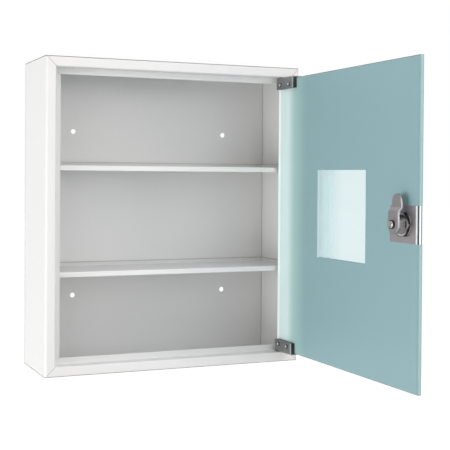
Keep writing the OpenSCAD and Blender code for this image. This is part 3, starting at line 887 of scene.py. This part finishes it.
def set_screws(name):
    """Two socket set screws: rows from the socket's floor out over the rim and back along the shank."""
    low, high = corners(name)
    r = SET_SCREW_R
    length = high[0] - low[0]
    angle = np.linspace(0, 2 * math.pi, PIVOT_COLUMNS, endpoint=False)
    hexagon = hexagon_radius(SOCKET_R * math.cos(math.pi / 6), angle)
    e = 0.35 * MM
    steps = [SOCKET_DEPTH + 0.3 * MM, SOCKET_DEPTH, 0.15 * MM, 0, 0, 0.05 * MM, e, length, length]
    stations = low[0] + np.array(steps)
    radii = [0, hexagon * 0.98, hexagon, hexagon * 1.08, r - e, r - 0.6 * e, r, r, 0]
    shells = []
    for y in (low[1] + r, high[1] - r):
        rows = turned_rows(stations, radii, (0, y, (low[2] + high[2]) / 2), 0, PIVOT_COLUMNS)
        shells.append(shell(rows))
    return piece(name + "_turned", name, "door", "steel_screw", shells,
                 material=set_screw_steel(name, low, high))


# ---- door glass

GLASS_BEVEL = 0.8 * MM
GLASS_HOLE = 10.0 * MM
GLASS_HOLE_EASE = 0.4 * MM
PANE_RAYS = 128


def pane():
    """The pane as a ring: rays from the lock's axis meet the hole and the rectangle, which is bevelled."""
    y0, z0 = lock_axis[1:]
    low = glass_low[1:]
    high = glass_high[1:]
    angle = np.linspace(-math.pi, math.pi, PANE_RAYS, endpoint=False)
    spots = np.array([[low[0], low[1]], [high[0], low[1]], [high[0], high[1]], [low[0], high[1]]])
    exact = np.arctan2(spots[:, 1] - z0, spots[:, 0] - y0)
    nearest = np.abs(angle[None, :] - exact[:, None]).argmin(1)
    angle[nearest] = exact
    c = np.cos(angle)
    s = np.sin(angle)
    tiny = 1e-12
    reach_y = np.where(c > 0, high[0] - y0, low[0] - y0) / np.where(np.abs(c) < tiny, tiny, c)
    reach_z = np.where(s > 0, high[1] - z0, low[1] - z0) / np.where(np.abs(s) < tiny, tiny, s)
    reach = np.minimum(np.abs(reach_y), np.abs(reach_z))
    rim = np.stack([y0 + reach * c, z0 + reach * s], 1)
    rim[nearest] = spots
    face = np.clip(rim, low + GLASS_BEVEL, high - GLASS_BEVEL)
    small = GLASS_HOLE_EASE
    hole = np.stack([y0 + GLASS_HOLE * c, z0 + GLASS_HOLE * s], 1)
    mouth = np.stack([y0 + (GLASS_HOLE + small) * c, z0 + (GLASS_HOLE + small) * s], 1)
    x0, x1 = glass_low[0], glass_high[0]
    plan = [(hole, x0 + small), (mouth, x0), (face, x0), (rim, x0 + GLASS_BEVEL), (rim, x1 - GLASS_BEVEL),
            (face, x1), (mouth, x1), (hole, x1 - small)]
    rows = np.stack([along_x(points, x) for points, x in plan])
    return piece("door_glass_bevelled", "door_glass", "door", "frosted_glass",
                 [shell(rows, ring=True)], crease=20)


# ---- lock

BRACKET_T = 0.8 * MM
FILM_T = 0.2 * MM
WASHER_R = 12.2 * MM
CAM_WASHER_R = 6.5 * MM
CAM_WASHER_BORE = 2.05 * MM
WASHER_EASE = 0.15 * MM


def edge_angle(name, slot, thickness, material=None):
    """An angle of thin sheet on the glass: a folded strip in the X-Y plane, carried along Z."""
    low, high = corners(name)
    half = thickness / 2
    path = [[low[0] + half, high[1]], [low[0] + half, low[1] + half], [high[0], low[1] + half]]
    section = folded_section(path, thickness, [half + 0.1 * MM], thickness * 0.25, 8)
    made = carried(section, low[2], high[2], thickness * 0.25, along_z, strip=True)
    return piece(name + "_folded", name, "door", slot, [made], material=material)


LOCK_COLUMNS = 96                  # of the lock's turned pieces
BARREL_R = 9.4 * MM
BARREL_FLAT = 8.3 * MM             # from the axis to each flat
THREAD_PITCH = 1.0 * MM
THREAD_DEPTH = 0.45 * MM
THREAD_ROWS = 150
LEAD_IN = (0.8 * MM, 0.5 * MM)     # length and depth of the thread's tapered start
RIM_T = 2.5 * MM
RIM_R = 11.5 * MM
PLUG_BORE = 6.45 * MM
SHOULDER_BORE = 7.45 * MM
SHOULDER_DEPTH = 1.55 * MM


def barrel():
    """A threaded body with two flats, then its rim: the radius is the smaller of thread and flat.
    The thread is a cosine of the station less the angle, over one pitch."""
    low, high = corners("lock_barrel")
    inner_end = low[0]
    front = high[0]
    body_stop = front - RIM_T
    angle = np.linspace(0, 2 * math.pi, LOCK_COLUMNS, endpoint=False)
    stations = np.linspace(inner_end, body_stop, THREAD_ROWS)
    wave = 0.5 - 0.5 * np.cos(2 * math.pi * (stations[:, None] / THREAD_PITCH) - angle)
    fade = np.clip((stations - inner_end) / LEAD_IN[0], 0, 1)[:, None]
    threaded = BARREL_R - THREAD_DEPTH * wave - (1 - fade) * LEAD_IN[1]
    threaded = np.minimum(threaded, BARREL_FLAT / np.maximum(np.abs(np.cos(angle)), 1e-6))
    rim = [(body_stop, RIM_R - 0.2 * MM), (body_stop + 0.2 * MM, RIM_R), (front - 0.8 * MM, RIM_R),
           (front - 0.5 * MM, RIM_R - 0.12 * MM), (front - 0.2 * MM, RIM_R - 0.42 * MM),
           (front, RIM_R - 0.95 * MM), (front, SHOULDER_BORE + 0.15 * MM),
           (front - 0.15 * MM, SHOULDER_BORE), (front - SHOULDER_DEPTH, SHOULDER_BORE),
           (front - SHOULDER_DEPTH, PLUG_BORE), (inner_end + 0.3 * MM, PLUG_BORE),
           (inner_end, PLUG_BORE + 0.3 * MM)]
    rim_stations, rim_radii = profile(rim)
    rows = turned_rows([*stations, *rim_stations], [*threaded, *rim_radii], lock_axis, 0, LOCK_COLUMNS)
    return piece("lock_barrel_threaded", "lock_barrel", "door", "lock_chrome", [shell(rows, ring=True)],
                 material=barrel_chrome())


def ring(name, body, slot, bore, radius, edge):
    """A plain washer with eased rims."""
    low, high = corners(name)
    x0 = low[0]
    x1 = high[0]
    points = [(x0, bore + edge), (x0, radius - edge), (x0 + edge, radius), (x1 - edge, radius),
              (x1, radius - edge), (x1, bore + edge), (x1 - edge, bore), (x0 + edge, bore)]
    stations, radii = profile(points)
    rows = turned_rows(stations, radii, lock_axis, 0, LOCK_COLUMNS)
    return piece(name + "_turned", name, body, slot, [shell(rows, ring=True)])


NUT_FLAT = 12.0 * MM               # from the axis to each flat
NUT_BORE = 9.5 * MM
NUT_CONE = math.radians(30)
NUT_COLUMNS = 144
NUT_TONES = ((0.62, 0.60, 0.61), (0.88, 0.86, 0.87))


def nut():
    """A hexagon nut: each row's radius is the smaller of the hexagon and a cone at both ends."""
    low, high = corners("lock_nut")
    angle = np.linspace(0, 2 * math.pi, NUT_COLUMNS, endpoint=False)
    hexagon = hexagon_radius(NUT_FLAT, angle)
    depth = np.array([0, 0.12, 0.3, 0.5, 0.75, 1.0, 1.15]) * MM
    cone = NUT_FLAT - 0.3 * MM + depth / math.tan(NUT_CONE)
    near = [np.minimum(hexagon, c) for c in cone]
    stations = [*(low[0] + depth), *(high[0] - depth[::-1])]
    radii = near + near[::-1]
    e = 0.4 * MM
    stations += [high[0], high[0] - e, low[0] + e, low[0]]
    radii += [NUT_BORE + e, NUT_BORE, NUT_BORE, NUT_BORE + e]
    rows = turned_rows(stations, radii, lock_axis, 0, NUT_COLUMNS)
    # the nut's flats carry painted shade and dark reflection
    return piece("lock_nut_cut", "lock_nut", "door", "plated_steel", [shell(rows, ring=True)],
                 material=metal_by_radius("nut_steel", 11.4 * MM, 11.6 * MM, *NUT_TONES, hexagon=True))


CAM_HUB = 9.5 * MM                 # radius of the wide end
CAM_TIP = 8.0 * MM                 # radius of the tip
CAM_T = 2.0 * MM
CAM_EASE = 0.35 * MM
CRANK_START = 11.8 * MM            # of the step towards the glass, from the lock's axis
CRANK_RUN = 5.6 * MM


def cam():
    """The cam: a flat bar of eased section, carried up a cranked line. Its half width at a height is
    that of two circles and their common tangent; its line moves towards the glass by a smooth step."""
    low, high = corners("lock_cam")
    length = high[2] - lock_axis[2]
    span = length - CAM_TIP
    lean = math.asin((CAM_HUB - CAM_TIP) / span)
    short = 0.06                       # the angle by which both round ends stop short
    foot = -CAM_HUB * np.cos(np.linspace(short, 1.3, 24))
    bar = np.linspace(-0.2, 1, 70)[1:] * span
    tip = span + CAM_TIP * np.sin(np.linspace(0, math.pi / 2 - short, 28))
    up = np.unique(np.concatenate([foot, bar, tip]))
    hub_stop = CAM_HUB * math.sin(lean)
    tip_start = span + CAM_TIP * math.sin(lean)
    part = np.clip((up - hub_stop) / (tip_start - hub_stop), 0, 1)
    half = (CAM_HUB + (CAM_TIP - CAM_HUB) * part) * math.cos(lean)
    half = np.where(up < hub_stop, np.sqrt(np.maximum(CAM_HUB ** 2 - up ** 2, 0)), half)
    half = np.where(up > tip_start, np.sqrt(np.maximum(CAM_TIP ** 2 - (up - span) ** 2, 0)), half)
    step = high[0] - low[0] - CAM_T
    s = np.clip((up - CRANK_START) / CRANK_RUN, 0, 1)
    x = low[0] + CAM_T / 2 + step * s * s * (3 - 2 * s)
    slope = np.gradient(x, up)
    normal = np.stack([np.ones_like(x), -slope], 1) / np.sqrt(1 + slope ** 2)[:, None]
    e = CAM_EASE
    e_row = np.minimum(e, half * 0.4)
    t = CAM_T / 2
    less = half - e_row
    side = np.stack([half, half, less, -less, -half, -half, -less, less], 1)
    face = np.array([-(t - e), t - e, t, t, t - e, -(t - e), -t, -t])
    rows = np.stack([x[:, None] + normal[:, :1] * face, lock_axis[1] + side,
                     lock_axis[2] + up[:, None] + normal[:, 1:] * face], -1)
    return piece("lock_cam_cranked", "lock_cam", "lock", "plated_steel", [shell(rows)])


HEAD_T = 2.2 * MM
HEAD_DOME = 0.9 * MM
HEAD_TONES = ((0.40, 0.385, 0.395), (0.62, 0.60, 0.61))
CROSS_HALF_W = 0.55 * MM
CROSS_REACH = 2.4 * MM
CROSS_DEPTH = 1.1 * MM
CROSS_TURN = 0.5                   # radians that the cross is turned by


def falling(value, edge, soft):
    """1 before edge and 0 behind it, over a straight slope of width soft."""
    return 1 - np.clip((value - edge + soft / 2) / soft, 0, 1)


def cam_screw():
    """A pan head with a cross recess: rings whose height is a dome, less the recess where an arm is near."""
    low, high = corners("cam_screw")
    r = (high[1] - low[1]) / 2
    columns = LOCK_COLUMNS
    angle = np.linspace(0, 2 * math.pi, columns, endpoint=False)
    rho = np.concatenate([np.linspace(0.0, 0.86, 44), np.linspace(0.88, 1.0, 8)]) * r
    a = np.abs(rho[:, None] * np.cos(angle + CROSS_TURN))
    b = np.abs(rho[:, None] * np.sin(angle + CROSS_TURN))
    recess = falling(np.minimum(a, b), CROSS_HALF_W, 0.16 * MM)
    recess = recess * falling(np.maximum(a, b), CROSS_REACH, 0.5 * MM)
    dome = HEAD_DOME * (rho[:, None] / r) ** 2.4
    rows = turned_rows([0] * len(rho), list(np.repeat(rho[:, None], columns, 1)), lock_axis, 0, columns)
    rows[..., 0] = low[0] + dome + recess * CROSS_DEPTH
    back = low[0] + HEAD_T
    rest = turned_rows([low[0] + 1.1 * MM, back - 0.1 * MM, back, back], [r, r, r - 0.1 * MM, 0],
                       lock_axis, 0, columns)
    # the head's side carries painted shade and dark reflection
    return piece("cam_screw_turned", "cam_screw", "lock", "steel_screw",
                 [shell(np.concatenate([rows, rest]))], crease=50,
                 material=metal_by_radius("head_steel", 3.4 * MM, 3.7 * MM, *HEAD_TONES))


body_panels()
shelf("upper_shelf")
shelf("lower_shelf")
for side, sign in (("upper", 1), ("lower", -1)):
    bush(side + "_pivot_bush", sign)
    pin(side + "_pivot_pin", sign)
    clamp(side + "_hinge_clamp", sign)
    pad(side + "_clamp_pad", sign)
    set_screws(side + "_clamp_screws")
pane()
edge_angle("lock_bracket", "plated_steel", BRACKET_T, bracket_steel())
edge_angle("bracket_film", "clear_film", FILM_T)
barrel()
ring("lock_washer", "door", "plated_steel", NUT_BORE, WASHER_R, WASHER_EASE)
nut()
cam()
ring("cam_washer", "lock", "plated_steel", CAM_WASHER_BORE, CAM_WASHER_R, WASHER_EASE)
cam_screw()
eased("back_panel", "cabinet", "white_paint", 0.8 * MM)
eased("lock_plug", "lock", "lock_chrome", 0.15 * MM)


# ---- stage

WHITE = (1.0, 1.0, 1.0)
WARM = (1.0, 0.972, 0.966)         # of the lamps whose light comes past the green glass
WORLD = 0.24                       # plain light of the room
FLOOR_DROP = 0.55                  # floor below the cabinet
FLOOR_HALF = 20.0
FLOOR_TONE = (0.85, 0.85, 0.85, 1.0)
FLOOR_GLOW = 1.02 - 0.85 * WORLD   # brings the floor up to the white of the room
LAMP_AIM = np.array([0.0, -0.1, 0.0])
LAMP_FAR = 2.2
LAMP_SIZE = 1.2
LAMPS = {                          # bearing from the front, height angle, power and tint of each
    "left": (-105, -12, 7.4, WHITE),
    "left_low": (-75, -12, 27.4, WHITE),
    "front_left": (-45, 15, 5.5, WHITE),
    "front": (15, 8, 11.0, WARM),
    "front_high": (15, 40, 9.1, WARM),
    "high": (40, 70, 9.9, WARM),
    "behind": (150, 5, 22.0, WHITE),
}


def seen_ray(graph, rays):
    """1 for a ray of one of these kinds."""
    seen = graph.node("ShaderNodeLightPath", output=rays[0])
    for ray in rays[1:]:
        seen = seen.most(graph.node("ShaderNodeLightPath", output=ray))
    return seen


def room():
    """A white room: plain light for the surfaces, and full white for what is seen past or in them."""
    world = bpy.data.worlds.new("studio")
    bpy.context.scene.world = world
    g = Nodes(world, "ShaderNodeOutputWorld")
    seen = seen_ray(g, ("Is Camera Ray", "Is Glossy Ray", "Is Transmission Ray"))
    plain = g.node("ShaderNodeBackground", None, {"Color": (*WHITE, 1.0), "Strength": WORLD})
    full = g.node("ShaderNodeBackground", None, {"Color": (*WHITE, 1.0), "Strength": 1.0})
    g.finish(g.node("ShaderNodeMixShader", None, {0: seen, 1: plain, 2: full}))


def floor():
    """A plane that takes the cabinet's shadow, and glows where it is seen so that it ends up white."""
    z = cad_bounds[0][2] - FLOOR_DROP
    far = FLOOR_HALF
    mesh = bpy.data.meshes.new("floor")
    mesh.from_pydata([(-far, -far, z), (far, -far, z), (far, far, z), (-far, far, z)], [], [(0, 1, 2, 3)])
    obj = bpy.data.objects.new("floor", mesh)
    bpy.context.scene.collection.objects.link(obj)
    g = Graph("floor")
    strength = seen_ray(g, ("Is Camera Ray", "Is Glossy Ray")) * FLOOR_GLOW
    diffuse = g.node("ShaderNodeBsdfDiffuse", None, {"Color": FLOOR_TONE})
    glow = g.node("ShaderNodeEmission", None, {"Color": (*WHITE, 1.0), "Strength": strength})
    mesh.materials.append(g.finish(g.node("ShaderNodeAddShader", None, {0: diffuse, 1: glow})))


def lamp(name, bearing, height, power, tint):
    """A square soft box on a ball round the cabinet, turned to its middle."""
    around = math.radians(bearing)
    rise = math.radians(height)
    data = bpy.data.lights.new(name, "AREA")
    data.shape = "RECTANGLE"
    data.size = LAMP_SIZE
    data.size_y = LAMP_SIZE
    data.energy = power
    data.color = tint
    obj = bpy.data.objects.new(name, data)
    back = [math.sin(around) * math.cos(rise), -math.cos(around) * math.cos(rise), math.sin(rise)]
    ahead = -np.array(back)
    side = np.cross(ahead, [0, 0, 1.0])
    side /= np.linalg.norm(side)
    obj.matrix_world = placed(side, np.cross(side, ahead), -ahead, LAMP_AIM - LAMP_FAR * ahead)
    bpy.context.scene.collection.objects.link(obj)


room()
floor()
for name, values in LAMPS.items():
    lamp(name, *values)
